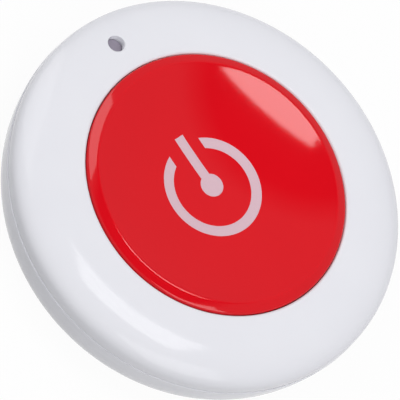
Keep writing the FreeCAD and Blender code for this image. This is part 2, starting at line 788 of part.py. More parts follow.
def encoder_chip():
    """The eight-pin chip that codes the signal, and its bent leads."""
    chip = new_body("encoder_chip")
    section = sketch_on(chip, "Section", "XZ_Plane")
    top = "chip_lift + chip_height"
    outline(section, [("-chip_width / 2", "chip_lift"), ("chip_width / 2", "chip_lift"),
                      ("chip_width / 2", top), ("chip_chamfer - chip_width / 2", top),
                      ("-chip_width / 2", top + " - chip_chamfer")])
    pad(chip, section, "Block", "chip_length", centred=True)
    corner = ("chip_width / 2 - 2 * chip_dimple", "chip_length / 2 - 2 * chip_dimple")
    dimple = sketch_on(chip, "DimpleOutline", at=("0", "0", top + " - chip_dimple_depth"))
    circle(dimple, "chip_dimple", corner)
    pocket(chip, dimple, "Dimple", "chip_dimple_depth")
    put(chip, "chip_across", "chip_along", "board_top")

    leads = new_body("encoder_leads")
    first = ("0", "-(pin_count - 1) * pin_pitch / 2", "0")
    middle = "chip_lift + chip_height / 2"
    rows = []
    for name, side in (("RightLead", "1"), ("LeftLead", "-1")):
        bend = sketch_on(leads, name + "Bend", "XZ_Plane", at=first)
        across = [("chip_width / 2", middle), ("chip_width / 2 + pin_reach - pin_foot", middle),
                  ("chip_width / 2 + pin_reach - pin_foot", "0"), ("chip_width / 2 + pin_reach", "0"),
                  ("chip_width / 2 + pin_reach", "pin_sheet"),
                  ("chip_width / 2 + pin_reach - pin_foot + pin_sheet", "pin_sheet"),
                  ("chip_width / 2 + pin_reach - pin_foot + pin_sheet", middle + " + pin_sheet"),
                  ("chip_width / 2", middle + " + pin_sheet")]
        outline(bend, [("%s * (%s)" % (side, x), z) for x, z in across])
        rows.append(pad(leads, bend, name, "pin_width", centred=True))
    along(leads, "Rows", rows, "Y_Axis", "(pin_count - 1) * pin_pitch", "pin_count")
    put(leads, "chip_across", "chip_along", "board_top")


def saw_resonator():
    """The ceramic resonator that sets the radio frequency, with its metal lid."""
    body = new_body("saw_resonator")
    base = sketch_on(body, "BaseOutline")
    rectangle(base, ("0", "0"), "saw_width", "saw_length")
    pad(body, base, "Base", "saw_height")
    lid = sketch_on(body, "LidOutline", at=("0", "0", "saw_height"))
    rectangle(lid, ("0", "0"), "saw_width - 2 * saw_lid_inset", "saw_length - 2 * saw_lid_inset")
    pad(body, lid, "Lid", "saw_lid_thick")
    put(body, "saw_across", "saw_along", "board_top")


def rf_transistor():
    """The radio transistor and its three leads."""
    body = new_body("rf_transistor")
    block = sketch_on(body, "BlockOutline", at=("0", "0", "transistor_lift"))
    rectangle(block, ("0", "0"), "transistor_length", "transistor_width")
    pad(body, block, "Block", "transistor_height")
    put(body, "transistor_across", "transistor_along", "board_top")
    leads = new_body("transistor_leads")
    feet = sketch_on(leads, "Feet")
    reach = "(transistor_width + leg_reach) / 2"
    for x, y in (("transistor_pitch / 2", reach), ("-transistor_pitch / 2", reach), ("0", "-" + reach)):
        rectangle(feet, (x, y), "leg_width", "leg_reach")
    pad(leads, feet, "Sheet", "leg_thick")
    put(leads, "transistor_across", "transistor_along", "board_top")


def small_chips(label, across, upward, height):
    """A row of small two-ended chips on the board."""
    body = new_body(label)
    chip = sketch_on(body, "ChipOutline")
    rectangle(chip, ("0", "0"), "small_width", "small_length")
    chips = pad(body, chip, "Chip", height)
    along(body, "Row", [chips], "X_Axis", "(small_count - 1) * small_pitch", "small_count")
    put(body, across, upward, "board_top")


def status_light():
    """The light: its two leads and the clear lens that is cast round them."""
    leads = new_body("led_leads")
    frame = sketch_on(leads, "FrameOutline", "XZ_Plane")
    tail = "board_bottom - lead_tail"
    outer = "lead_pitch / 2 + lead_width / 2"
    inner = "lead_pitch / 2 - lead_width / 2"
    knee = "led_base + lead_knee"
    top = "led_base + lead_in_lens"
    for side, post_side in (("-1", "anode_inner"), ("1", "-anvil_inner")):
        outline(frame, [(side + " * (" + x + ")", z) for x, z in (
            (outer, tail), (inner, tail), (inner, "led_base + lead_under"),
            (post_side, "led_base + lead_under"), (post_side, top), ("post_outer", top),
            ("post_outer", knee), (outer, knee))])
    pad(leads, frame, "Sheet", "lead_width", centred=True)
    put(leads, "0", "led_circle", "0")

    lens = doc.addObject("PartDesign::Body", "LensCasting")
    section = sketch_on(lens, "Section", "XZ_Plane")
    flange_top = "led_base + led_flange_thick"
    outline(section, [("0", "led_base"), ("led_flange_radius", "led_base"),
                      ("led_flange_radius", flange_top), ("led_radius", flange_top),
                      ("led_radius", "led_shoulder"), ("0", "led_tip")],
            rounds={4: ("0", "led_shoulder")})
    revolve(lens, section, "Turned")
    put(lens, "0", "led_circle", "0")
    cast = doc.addObject("Part::Cut", "led_lens")
    cast.Label = "led_lens"
    cast.Base = lens
    cast.Tool = leads
    nodes.append(cast)


def case_screws():
    """The three pan-head screws that hold the halves and the board together, from below."""
    body = new_body("case_screws")
    section = sketch_on(body, "Section", "XZ_Plane", at=("screw_x", "screw_y", "0"))
    outline(section, [
        ("0", "head_bottom"),
        ("head_radius - head_chamfer", "head_bottom"),
        ("head_radius", "head_bottom + head_chamfer"),
        ("head_radius", "counterbore_depth"),
        ("shank_radius", "counterbore_depth"),
        ("shank_radius", "screw_tip"),
        ("0", "screw_tip"),
    ])
    turned = revolve(body, section, "Turned")
    cross = sketch_on(body, "CrossOutline", at=("screw_x", "screw_y", "head_bottom"))
    arm, half = "cross_length / 2", "cross_width / 2"
    outline(cross, [("-" + arm, "-" + half), ("-" + half, "-" + half), ("-" + half, "-" + arm),
                    (half, "-" + arm), (half, "-" + half), (arm, "-" + half), (arm, half),
                    (half, half), (half, arm), ("-" + half, arm), ("-" + half, half), ("-" + arm, half)])
    recess = pocket(body, cross, "Cross", "cross_depth")
    around(body, "Screws", [turned, recess], "screw_count")


top_shell()
bottom_shell()
button_cap()
battery_door()
coin_cell()
positive_clip()
negative_contact()
circuit_board()
antenna_loop()
push_switch()
encoder_chip()
saw_resonator()
rf_transistor()
small_chips("chip_resistors", "resistor_across", "resistor_along", "resistor_height")
small_chips("chip_capacitors", "capacitor_across", "capacitor_along", "capacitor_height")
status_light()
case_screws()
doc.recompute()

for thing in doc.Objects:
    if "Invalid" in thing.State or "Error" in thing.State:
        raise RuntimeError("%s failed: %s %s" % (thing.Label, thing.State, thing.getStatusString()))
for feature in cuts:
    if feature.BaseFeature.Shape.Volume - feature.Shape.Volume < 1e-4:
        raise RuntimeError("%s cuts nothing" % feature.Label)
for node in nodes:
    if node.Shape.isNull() or not node.Shape.isValid() or not node.Shape.Solids:
        raise RuntimeError("%s has no sound shape" % node.Label)

os.makedirs("parts", exist_ok=True)
for node in nodes:
    node.Shape.exportStep(os.path.join("parts", node.Label + ".step"))
    print("%-18s %d solids %9.2f mm3" % (node.Label, len(node.Shape.Solids), node.Shape.Volume))
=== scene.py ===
"""The round one-button remote, dressed for the camera, from its lower moulding up to the printed sign.

Lengths are in metres, with one millimetre as the unit MM. +Z goes up through the button, and
+Y goes from the centre to the status light.
"""
import math

import bpy
from mathutils import Matrix, Vector


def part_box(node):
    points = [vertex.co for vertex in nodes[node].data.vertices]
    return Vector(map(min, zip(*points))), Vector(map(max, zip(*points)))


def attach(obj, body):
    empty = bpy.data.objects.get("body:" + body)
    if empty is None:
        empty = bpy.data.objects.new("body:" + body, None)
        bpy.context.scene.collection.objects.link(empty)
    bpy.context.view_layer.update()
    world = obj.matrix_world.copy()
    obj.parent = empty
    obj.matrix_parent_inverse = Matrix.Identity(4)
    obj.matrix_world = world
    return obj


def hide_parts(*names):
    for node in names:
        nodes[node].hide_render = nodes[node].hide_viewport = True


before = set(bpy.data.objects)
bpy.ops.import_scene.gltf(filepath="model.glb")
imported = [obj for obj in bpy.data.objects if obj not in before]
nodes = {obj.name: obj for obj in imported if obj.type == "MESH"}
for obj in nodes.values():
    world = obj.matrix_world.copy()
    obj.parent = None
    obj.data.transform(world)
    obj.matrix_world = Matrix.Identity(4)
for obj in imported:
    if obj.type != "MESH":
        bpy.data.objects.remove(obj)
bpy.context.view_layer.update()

# Lower moulding
# The white ABS tray: rounded base, rim with a rebate, battery well, screw bosses and board posts.
# Injection moulded in a polished tool, so it is glossy, with the faint ripple of its steel.
MM = 0.001
SEGMENTS = 256
WALL = 1.6 * MM
FLOOR = 1.5 * MM
BASE_ROUND_WIDTH = 4.0 * MM
BASE_ROUND_HEIGHT = 4.5 * MM
FULLNESS = 2.7
SIDE_STEPS = 33
SEAM_ROUND = 0.14 * MM
RIM_LAND = 0.8 * MM
TONGUE = 1.1 * MM
SEAM_FIT = 0.06 * MM
BASE_RING_EDGE = 0.03 * MM
WELL_WALL = 2.35 * MM
WELL_EDGE = 0.15 * MM
WELL_TO_BOARD = 0.3 * MM
TAB_REACH = 1.05 * MM
HEAD_RADIUS = 1.9 * MM
SCREW_ANGLES = [math.radians(angle) for angle in (30, 150, 270)]
WHITE_ABS = "#E6E6EB"

body_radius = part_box("bottom_shell")[1].x
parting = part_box("bottom_shell")[1].z
board_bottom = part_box("circuit_board")[0].z
screws_low, screws_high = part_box("case_screws")
first_cosine = math.cos(SCREW_ANGLES[0])
screw_circle = 0.5 * (screws_high.x / first_cosine - screws_low.y) - HEAD_RADIUS * (1 / first_cosine + 1) / 2
well_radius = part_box("battery_door")[1].x - TAB_REACH
well_outer = well_radius + WELL_WALL


def arc(centre, across, upward, first, last, steps):
    """Points (radius, height) along a level oval, from one angle in degrees to another."""
    points = []
    for step in range(steps + 1):
        angle = math.radians(first + (last - first) * step / steps)
        points.append((centre[0] + across * math.cos(angle), centre[1] + upward * math.sin(angle)))
    return points


def turned(name, profile, closed=False, segments=SEGMENTS, place=(0, 0)):
    """A ring drawn out of a circle along its profile of (radius, height) pairs."""
    bpy.ops.object.select_all(action="DESELECT")
    radius, height = profile[0]
    bpy.ops.mesh.primitive_circle_add(vertices=segments, radius=radius, location=(*place, height))
    piece = bpy.context.object
    piece.name = name
    bpy.ops.object.transform_apply(location=True, rotation=False, scale=False)
    bpy.ops.object.mode_set(mode="EDIT")
    bpy.ops.mesh.select_all(action="SELECT")
    for next_radius, next_height in profile[1:] + (profile[:1] if closed else []):
        bpy.ops.mesh.extrude_region_move(TRANSFORM_OT_translate={"value": (0, 0, next_height - height)})
        scale = next_radius / radius
        bpy.ops.transform.resize(value=(scale, scale, 1), center_override=(*place, next_height))
        radius, height = next_radius, next_height
    bpy.ops.mesh.select_all(action="SELECT")
    bpy.ops.mesh.remove_doubles(threshold=0.002 * MM)
    bpy.ops.mesh.normals_make_consistent(inside=False)
    bpy.ops.object.mode_set(mode="OBJECT")
    return piece


def plug(steps, place, segments=64):
    """A solid peg built up from a disc: steps are (radius, height) pairs from its foot to its top."""
    bpy.ops.object.select_all(action="DESELECT")
    radius, height = steps[0]
    bpy.ops.mesh.primitive_circle_add(vertices=segments, radius=radius, fill_type="NGON",
                                      location=(*place, height))
    peg = bpy.context.object
    bpy.ops.object.transform_apply(location=True, rotation=False, scale=False)
    bpy.ops.object.mode_set(mode="EDIT")
    bpy.ops.mesh.select_all(action="SELECT")
    bpy.ops.mesh.duplicate()
    for next_radius, next_height in steps[1:]:
        bpy.ops.mesh.extrude_region_move(TRANSFORM_OT_translate={"value": (0, 0, next_height - height)})
        scale = next_radius / radius
        bpy.ops.transform.resize(value=(scale, scale, 1), center_override=(*place, next_height))
        radius, height = next_radius, next_height
    bpy.ops.mesh.select_all(action="SELECT")
    bpy.ops.mesh.remove_doubles(threshold=0.002 * MM)
    bpy.ops.mesh.normals_make_consistent(inside=False)
    bpy.ops.object.mode_set(mode="OBJECT")
    return peg


def sector(inner, outer, low, high, first, sweep):
    """A block bent round +Z: two radii, two heights, its first angle and its sweep in degrees."""
    bpy.ops.object.select_all(action="DESELECT")
    bpy.ops.mesh.primitive_plane_add(size=1, location=((inner + outer) / 2, 0, (low + high) / 2),
                                     rotation=(math.pi / 2, 0, 0))
    piece = bpy.context.object
    piece.scale = (outer - inner, high - low, 1)
    bpy.ops.object.transform_apply(location=True, rotation=True, scale=True)
    piece.rotation_euler = (0, 0, math.radians(first))
    bpy.ops.object.transform_apply(location=False, rotation=True, scale=False)
    bpy.ops.object.mode_set(mode="EDIT")
    bpy.ops.mesh.select_all(action="SELECT")
    bpy.ops.mesh.spin(steps=max(2, round(sweep / 2)), angle=math.radians(sweep),
                      center=(0, 0, 0), axis=(0, 0, -1))
    bpy.ops.mesh.select_all(action="SELECT")
    bpy.ops.mesh.normals_make_consistent(inside=False)
    bpy.ops.object.mode_set(mode="OBJECT")
    return piece


def combine(piece, others, operation):
    """Add solids to a piece, or cut them out of it, and remove them."""
    for other in others:
        bpy.ops.object.select_all(action="DESELECT")
        piece.select_set(True)
        bpy.context.view_layer.objects.active = piece
        step = piece.modifiers.new("Combine", "BOOLEAN")
        step.object = other
        step.operation = operation
        step.solver = "EXACT"
        bpy.ops.object.modifier_apply(modifier=step.name)
        bpy.data.objects.remove(other)


def smooth(piece, angle=25):
    bpy.ops.object.select_all(action="DESELECT")
    piece.select_set(True)
    bpy.context.view_layer.objects.active = piece
    bpy.ops.object.shade_smooth_by_angle(angle=math.radians(angle))


def on_circle(radius, angle):
    return radius * math.cos(angle), radius * math.sin(angle)


def linear(colour):
    """The linear RGBA of an sRGB hex colour."""
    channels = [int(colour[at:at + 2], 16) / 255 for at in (1, 3, 5)]
    return [c / 12.92 if c <= 0.04045 else ((c + 0.055) / 1.055) ** 2.4 for c in channels] + [1.0]


def add(tree, kind, inputs, **settings):
    """Add a node: inputs are values or the outputs that feed them, settings are its own options."""
    made = tree.nodes.new("ShaderNode" + kind)
    for name, choice in settings.items():
        setattr(made, name, choice)
    for name, given in inputs.items():
        if isinstance(given, bpy.types.NodeSocket):
            tree.links.new(given, made.inputs[name])
        else:
            made.inputs[name].default_value = given
    return made


def finish_of(name):
    """An empty material with its surface shader and the object's own coordinates."""
    material = bpy.data.materials.new(name)
    material.use_nodes = True
    tree = material.node_tree
    surface = tree.nodes["Principled BSDF"]
    place = add(tree, "TexCoord", {}).outputs["Object"]
    return material, tree, surface, place


def polished_abs(name, colour, shade, roughness, gloss):
    """Gloss ABS from a polished tool: flow ripple 4 mm apart, and a slight mottle.

    The tool's polish is finer than the picture can show, so it is drawn 0.3 mm wide.
    """
    material, tree, surface, place = finish_of(name)
    mottle = add(tree, "TexNoise", {"Vector": place, "Scale": 1 / (9 * MM), "Detail": 2.0})
    tint = add(tree, "Mix", {"Factor": mottle.outputs["Fac"], "A": linear(colour), "B": linear(shade)},
               data_type="RGBA")
    polish = add(tree, "TexNoise", {"Vector": place, "Scale": 1 / (0.3 * MM), "Detail": 3.0})
    sheen = add(tree, "MapRange", {"Value": polish.outputs["Fac"], "From Min": 0.3, "From Max": 0.7,
                                   "To Min": roughness * 0.85, "To Max": roughness * 1.2})
    ripple = add(tree, "TexNoise", {"Vector": place, "Scale": 1 / (4 * MM), "Detail": 1.0})
    relief = add(tree, "Bump", {"Height": ripple.outputs["Fac"], "Distance": 0.02 * MM, "Strength": 0.25})
    grain = add(tree, "Bump", {"Height": polish.outputs["Fac"], "Normal": relief.outputs["Normal"],
                               "Distance": 0.001 * MM, "Strength": 0.2})
    tree.links.new(tint.outputs["Result"], surface.inputs["Base Color"])
    tree.links.new(sheen.outputs["Result"], surface.inputs["Roughness"])
    tree.links.new(grain.outputs["Normal"], surface.inputs["Normal"])
    surface.inputs["Specular IOR Level"].default_value = gloss
    return material


white_abs = polished_abs("white ABS, polished tool", WHITE_ABS, "#E2E2E8", 0.09, 0.16)

rim_radius = body_radius - RIM_LAND
inner_radius = body_radius - WALL
corner = (body_radius - BASE_ROUND_WIDTH, BASE_ROUND_HEIGHT)
side = []
for step in range(SIDE_STEPS):
    angle = math.pi / 2 * step / SIDE_STEPS
    side.append((corner[0] + BASE_ROUND_WIDTH * math.sin(angle)**(2 / FULLNESS),
                 parting - parting * math.cos(angle)**(2 / FULLNESS)))
well_top = board_bottom - WELL_TO_BOARD
lower = turned("lower_moulding", [
    (well_radius, WELL_EDGE), (well_radius + WELL_EDGE, 0), (corner[0] - BASE_RING_EDGE, 0),
] + [point for point in side if point[1] < parting - SEAM_ROUND]
    + arc((body_radius - SEAM_ROUND, parting - SEAM_ROUND), SEAM_ROUND, SEAM_ROUND, 0, 90, 5) + [
    (rim_radius, parting),
    (rim_radius, parting - TONGUE - SEAM_FIT),
    (inner_radius, parting - TONGUE - SEAM_FIT),
] + arc(corner, BASE_ROUND_WIDTH - WALL, BASE_ROUND_HEIGHT - FLOOR, 0, -90, 10) + [
    (well_outer, FLOOR),
    (well_outer, well_top),
    (well_radius, well_top),
], closed=True)

BOSS = 2.8 * MM
SCREW_HOLE = 1.15 * MM
HEAD_BORE = 2.1 * MM
HEAD_DEPTH = 2.6 * MM
EDGE = 0.12 * MM
POST = 1.2 * MM
POST_CIRCLE = 17 * MM
RIB_TURN = 2.2
LEDGE = 1.7 * MM
LEDGE_TURN = 2.0
ROOT = 0.15 * MM
bosses = [plug([(BOSS, FLOOR / 2), (BOSS, board_bottom)], on_circle(screw_circle, angle))
          for angle in SCREW_ANGLES]
posts = [plug([(POST, FLOOR / 2), (POST, board_bottom)], on_circle(POST_CIRCLE, angle + math.radians(60)))
         for angle in SCREW_ANGLES]
ribs = [sector(screw_circle, inner_radius + ROOT, FLOOR * 0.8, BASE_ROUND_HEIGHT,
               math.degrees(angle) - RIB_TURN / 2, RIB_TURN) for angle in SCREW_ANGLES]
ledges = [sector(inner_radius - LEDGE, inner_radius + ROOT, FLOOR * 0.8, board_bottom,
                 angle - LEDGE_TURN / 2, LEDGE_TURN) for angle in range(0, 360, 60)]
combine(lower, bosses + posts + ribs + ledges, "UNION")
bores = [plug([(HEAD_BORE + 2 * EDGE, -EDGE), (HEAD_BORE, EDGE), (HEAD_BORE, HEAD_DEPTH),
               (SCREW_HOLE, HEAD_DEPTH), (SCREW_HOLE, board_bottom + MM)], on_circle(screw_circle, angle))
         for angle in SCREW_ANGLES]
TAB_SWEEP = 24
TAB_ROOM = 1.5
DOOR_TURN = 30
TAB_THICK = 0.8 * MM
TAB_FIT = 0.1 * MM
TAB_ANGLES = (100, 220, 340)
door_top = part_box("battery_door")[1].z
tab_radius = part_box("battery_door")[1].x
tab_slots = []
for first in TAB_ANGLES:
    tab_slots.append(sector(well_radius - MM, tab_radius + 2 * TAB_FIT, -TAB_FIT, door_top - TAB_FIT / 2,
                            first - TAB_ROOM - DOOR_TURN, TAB_SWEEP + 2 * TAB_ROOM))
    tab_slots.append(sector(well_radius - MM, tab_radius + TAB_FIT, door_top - TAB_THICK - 1.5 * TAB_FIT,
                            door_top + TAB_FIT / 2, first - 2 * TAB_ROOM - DOOR_TURN,
                            TAB_SWEEP + 3 * TAB_ROOM + DOOR_TURN))
combine(lower, bores + tab_slots, "DIFFERENCE")
smooth(lower)
lower.data.materials.append(white_abs)
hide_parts("bottom_shell")
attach(lower, "housing")

# Upper moulding
# The white ABS cover: side wall, domed crown, and a collar that guides the button through its opening.
# A tongue under its edge seats in the lower moulding's rebate. The tray stands out a little under it, and
# the tray's rounded lip catches the light as the fine pale line seen in the side.
CROWN_WIDTH = 10 * MM
CROWN_STEPS = 48
LIP = 0.45 * MM
COLLAR_WALL = 1.6 * MM
COLLAR_DEPTH = 2.2 * MM
STRAIGHT = 1.8 * MM
CROWN_FLAT = 2.7
CROWN_ROLL = 0.31
COVER_EDGE = 0.04 * MM
COVER_INSET = 0.12 * MM
INSET_BLEND = 30
LIGHT_HOLE = 1.25 * MM
LIGHT_EDGE = 0.15 * MM
LIGHT_TUBE = 2.4 * MM
LIGHT_BORE = 1.6 * MM
LIGHT_TUBE_DROP = 1.6 * MM
COVER_BOSS = 2.2 * MM
PILOT = 0.85 * MM
ROOT_ABOVE = 0.3 * MM
RIB_LAP = 0.1 * MM
UPPER_RIB_START = 0.2 * MM
UPPER_RIB_TURN = 2.0
KEY_TURN = 5
KEY_STEP = 0.2 * MM
KEY_DROP = 1.1 * MM
KEY_ROOT = 0.8 * MM
KEY_INSET = 0.03 * MM
KEY_ANGLES = (90, 210, 330)

board_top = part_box("circuit_board")[1].z
crown_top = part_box("top_shell")[1].z
crown_base = parting + STRAIGHT
opening = body_radius - CROWN_WIDTH
light_y = 0.5 * (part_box("led_lens")[0].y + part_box("led_lens")[1].y)
ceiling = crown_top - WALL
ceiling_radius = inner_radius - 1.5 * WALL
tongue_radius = rim_radius - SEAM_FIT
crown_across = body_radius - opening - LIP
cover_radius = body_radius - COVER_INSET


def crown_height(radius):
    """Height of the domed crown: it falls gently from the lip and rolls over into the side wall."""
    outward = min(1, (radius - opening - LIP) / crown_across)
    return parting + (crown_top - parting) * (1 - outward**CROWN_FLAT)**CROWN_ROLL


crown = []
for step in range(1, CROWN_STEPS + 1):
    share = math.sin(math.pi / 2 * step / CROWN_STEPS)
    radius = opening + LIP + crown_across * share
    if crown_height(radius) > parting + COVER_EDGE:
        crown.append((radius - COVER_INSET * share**INSET_BLEND, crown_height(radius)))
upper = turned("upper_moulding", arc((opening + LIP, crown_top - LIP), LIP, LIP, 180, 90, 8) + crown
    + arc((cover_radius - COVER_EDGE, parting + COVER_EDGE), COVER_EDGE, COVER_EDGE, 0, -90, 3) + [
    (tongue_radius, parting),
    (tongue_radius, parting - TONGUE),
    (inner_radius, parting - TONGUE),
    (inner_radius, crown_base),
    (ceiling_radius, ceiling),
    (opening + COLLAR_WALL, ceiling),
    (opening + COLLAR_WALL, crown_top - COLLAR_DEPTH),
    (opening, crown_top - COLLAR_DEPTH),
], closed=True)

upper_bosses = [plug([(COVER_BOSS, board_top), (COVER_BOSS, ceiling + ROOT_ABOVE)],
                     on_circle(screw_circle, angle)) for angle in SCREW_ANGLES]
tube = plug([(LIGHT_TUBE, ceiling - LIGHT_TUBE_DROP), (LIGHT_TUBE, ceiling + ROOT_ABOVE)], (0, light_y))
upper_ribs = [sector(screw_circle, inner_radius + ROOT_ABOVE, parting - TONGUE / 2, crown_base + RIB_LAP,
                     math.degrees(angle) - RIB_TURN / 2, RIB_TURN) for angle in SCREW_ANGLES]
upper_ribs += [sector(screw_circle + UPPER_RIB_START, ceiling_radius + MM, crown_base, ceiling + ROOT_ABOVE,
                      math.degrees(angle) - UPPER_RIB_TURN / 2, UPPER_RIB_TURN) for angle in SCREW_ANGLES]
keys = [sector(opening + KEY_STEP, opening + COLLAR_WALL - KEY_INSET, crown_top - COLLAR_DEPTH - KEY_DROP,
               crown_top - COLLAR_DEPTH + KEY_ROOT, angle - KEY_TURN / 2, KEY_TURN) for angle in KEY_ANGLES]
combine(upper, upper_bosses + [tube] + upper_ribs + keys, "UNION")
pilots = [plug([(PILOT, board_top - MM), (PILOT, board_top + 3 * MM)], on_circle(screw_circle, angle))
          for angle in SCREW_ANGLES]
light_top = crown_height(light_y)
light_bore = plug([(LIGHT_BORE, ceiling - 2 * MM), (LIGHT_BORE, ceiling), (LIGHT_HOLE, ceiling),
                   (LIGHT_HOLE, light_top - LIGHT_EDGE),
                   (LIGHT_HOLE + 0.3 * LIGHT_EDGE, light_top - 0.3 * LIGHT_EDGE),
                   (LIGHT_HOLE + 1.2 * LIGHT_EDGE, light_top + 0.3 * LIGHT_EDGE),
                   (LIGHT_HOLE + 6 * LIGHT_EDGE, light_top + MM)], (0, light_y), 96)
combine(upper, pilots + [light_bore], "DIFFERENCE")
smooth(upper)
upper.data.materials.append(white_abs)
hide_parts("top_shell")
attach(upper, "housing")

# Button
# The red ABS cap: a shallow bowl for the thumb inside a sloped rim band, parted by a crisp crease.
# Moulded in a mirror-polished tool, with a flange under the collar that keeps it in.
CAP_GAP = 0.1 * MM
BAND = 1.5 * MM
BOWL_STEPS = 40
BOWL_DEPTH = 2.65 * MM
CREASE_ROUND = 0.75 * MM
BAND_ROUND = 0.5 * MM
CAP_WALL = 1.05 * MM
SKIRT_WALL = 1.2 * MM
FLANGE_REACH = 1.2 * MM
FLANGE_THICK = 0.9 * MM
FLANGE_FIT = 0.05 * MM
CAP_BOSS = 1.5 * MM
NOTCH = 1.1 * MM
NOTCH_ABOVE = 0.02 * MM

crease_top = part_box("button_cap")[1].z
boss_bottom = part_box("button_cap")[0].z
cap_radius = opening - CAP_GAP
crease_radius = cap_radius - BAND
flange_top = crown_top - COLLAR_DEPTH - FLANGE_FIT
skirt_inner = cap_radius - SKIRT_WALL
bowl_radius = (crease_radius**2 + BOWL_DEPTH**2) / (2 * BOWL_DEPTH)
bowl_centre = crease_top - BOWL_DEPTH + bowl_radius
band_slope = math.atan2(crease_top - crown_top, BAND)
bowl_slope = math.asin(crease_radius / bowl_radius)


def bowl_height(radius, drop=0.0):
    return bowl_centre - math.sqrt((bowl_radius + drop)**2 - radius**2)


def rounded(corner, size, before, after, steps):
    """An arc that rounds a corner, between the directions (degrees) in which its two sides face."""
    turn = math.radians(after - before)
    away = size / math.cos(turn / 2)
    middle = math.radians((before + after) / 2)
    centre = (corner[0] - away * math.cos(middle), corner[1] - away * math.sin(middle))
    return arc(centre, size, size, before, after, steps)


def block(low, high, turn=0.0):
    """A box between two corners, turned about +Z."""
    bpy.ops.object.select_all(action="DESELECT")
    middle = (Vector(low) + Vector(high)) / 2
    bpy.ops.mesh.primitive_cube_add(size=1, location=middle)
    box = bpy.context.object
    box.scale = Vector(high) - Vector(low)
    bpy.ops.object.transform_apply(location=True, rotation=False, scale=True)
    box.rotation_euler = (0, 0, turn)
    bpy.ops.object.transform_apply(location=False, rotation=True, scale=False)
    return box


def close_ends(piece):
    """Fill the openings that a turned piece has left, and face it outwards."""
    bpy.context.view_layer.objects.active = piece
    bpy.ops.object.mode_set(mode="EDIT")
    bpy.ops.mesh.select_all(action="DESELECT")
    bpy.ops.mesh.select_non_manifold()
    bpy.ops.mesh.edge_face_add()
    bpy.ops.mesh.select_all(action="SELECT")
    bpy.ops.mesh.normals_make_consistent(inside=False)
    bpy.ops.object.mode_set(mode="OBJECT")


bowl_faces = 90 + math.degrees(bowl_slope)
band_faces = 90 - math.degrees(band_slope)
cap_profile = (rounded((cap_radius, crown_top), BAND_ROUND, 0, band_faces, 7)
               + rounded((crease_radius, crease_top), CREASE_ROUND, band_faces, bowl_faces, 6)
               + [(crease_radius * step / BOWL_STEPS, bowl_height(crease_radius * step / BOWL_STEPS))
                  for step in range(BOWL_STEPS - 1, 0, -1)])
underside = [CAP_BOSS + (skirt_inner - CAP_BOSS) * step / 8 for step in range(9)]
button = turned("button_cap_moulding", [
    (CAP_BOSS, boss_bottom),
] + [(radius, bowl_height(radius, CAP_WALL)) for radius in underside] + [
    (skirt_inner, flange_top - FLANGE_THICK),
    (opening + FLANGE_REACH, flange_top - FLANGE_THICK),
    (opening + FLANGE_REACH, flange_top),
    (cap_radius, flange_top),
] + cap_profile + [(0, crease_top - BOWL_DEPTH)])
close_ends(button)
notches = [block((opening, -NOTCH, flange_top - 2 * FLANGE_THICK),
                 (opening + 2 * FLANGE_REACH, NOTCH, flange_top + NOTCH_ABOVE), angle + math.radians(60))
           for angle in SCREW_ANGLES]
combine(button, notches, "DIFFERENCE")
smooth(button)
red_abs = polished_abs("red ABS, mirror-polished tool", "#DA0C1A", "#D60B19", 0.06, 0.4)
button.data.materials.append(red_abs)
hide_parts("button_cap")
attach(button, "button")

# Printed sign
# The power sign, pad-printed in one pale ink on the bowl: a ring with a gap, a stem and a dot at the centre.
# The ink is a film a few hundredths of a millimetre thick, so its edge is crisp and it has less gloss.
INK = 0.02 * MM
RING_INNER = 6.0 * MM
RING_OUTER = 7.56 * MM
RING_GAP = 5.8 * MM
STEM = 1.54 * MM
STEM_END = 8.3 * MM
DOT = 1.75 * MM
PRINT_REACH = 10 * MM
PRINT_STEPS = 24
RING_PLACE = (-0.45 * MM, 0)
STEM_PLACE = (-0.25 * MM, 0.3 * MM)

rings = [PRINT_REACH * step / PRINT_STEPS for step in range(1, PRINT_STEPS + 1)]
film = turned("printed_sign", [(radius, bowl_height(radius) - INK) for radius in rings]
              + [(radius, bowl_height(radius) + INK) for radius in reversed(rings)]
              + [(0, bowl_height(0) + INK)], segments=160)
close_ends(film)
low, high = crown_base - MM, crease_top + MM
stencil = turned("stencil", [(RING_INNER, low), (RING_OUTER, low), (RING_OUTER, high), (RING_INNER, high)],
                 closed=True, segments=160, place=RING_PLACE)
across, along = RING_PLACE
combine(stencil, [block((across - RING_GAP / 2, along, low - MM),
                        (across + RING_GAP / 2, along + 2 * RING_OUTER, high + MM))], "DIFFERENCE")
dot = plug([(DOT, low), (DOT, high)], STEM_PLACE, 96)
across, along = STEM_PLACE
combine(dot, [block((across - STEM / 2, along, low), (across + STEM / 2, along + STEM_END, high))], "UNION")
combine(stencil, [dot], "UNION")
combine(film, [stencil], "INTERSECT")
smooth(film)
ink, tree, surface, place = finish_of("pad-printed ink")
screen = add(tree, "TexNoise", {"Vector": place, "Scale": 1 / (0.25 * MM), "Detail": 2.0})
cover = add(tree, "Mix", {"Factor": screen.outputs["Fac"], "A": linear("#D9B9C3"), "B": linear("#D3B2BD")},
            data_type="RGBA")
tree.links.new(cover.outputs["Result"], surface.inputs["Base Color"])
surface.inputs["Roughness"].default_value = 0.3
surface.inputs["IOR"].default_value = 1.5
film.data.materials.append(ink)
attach(film, "button")

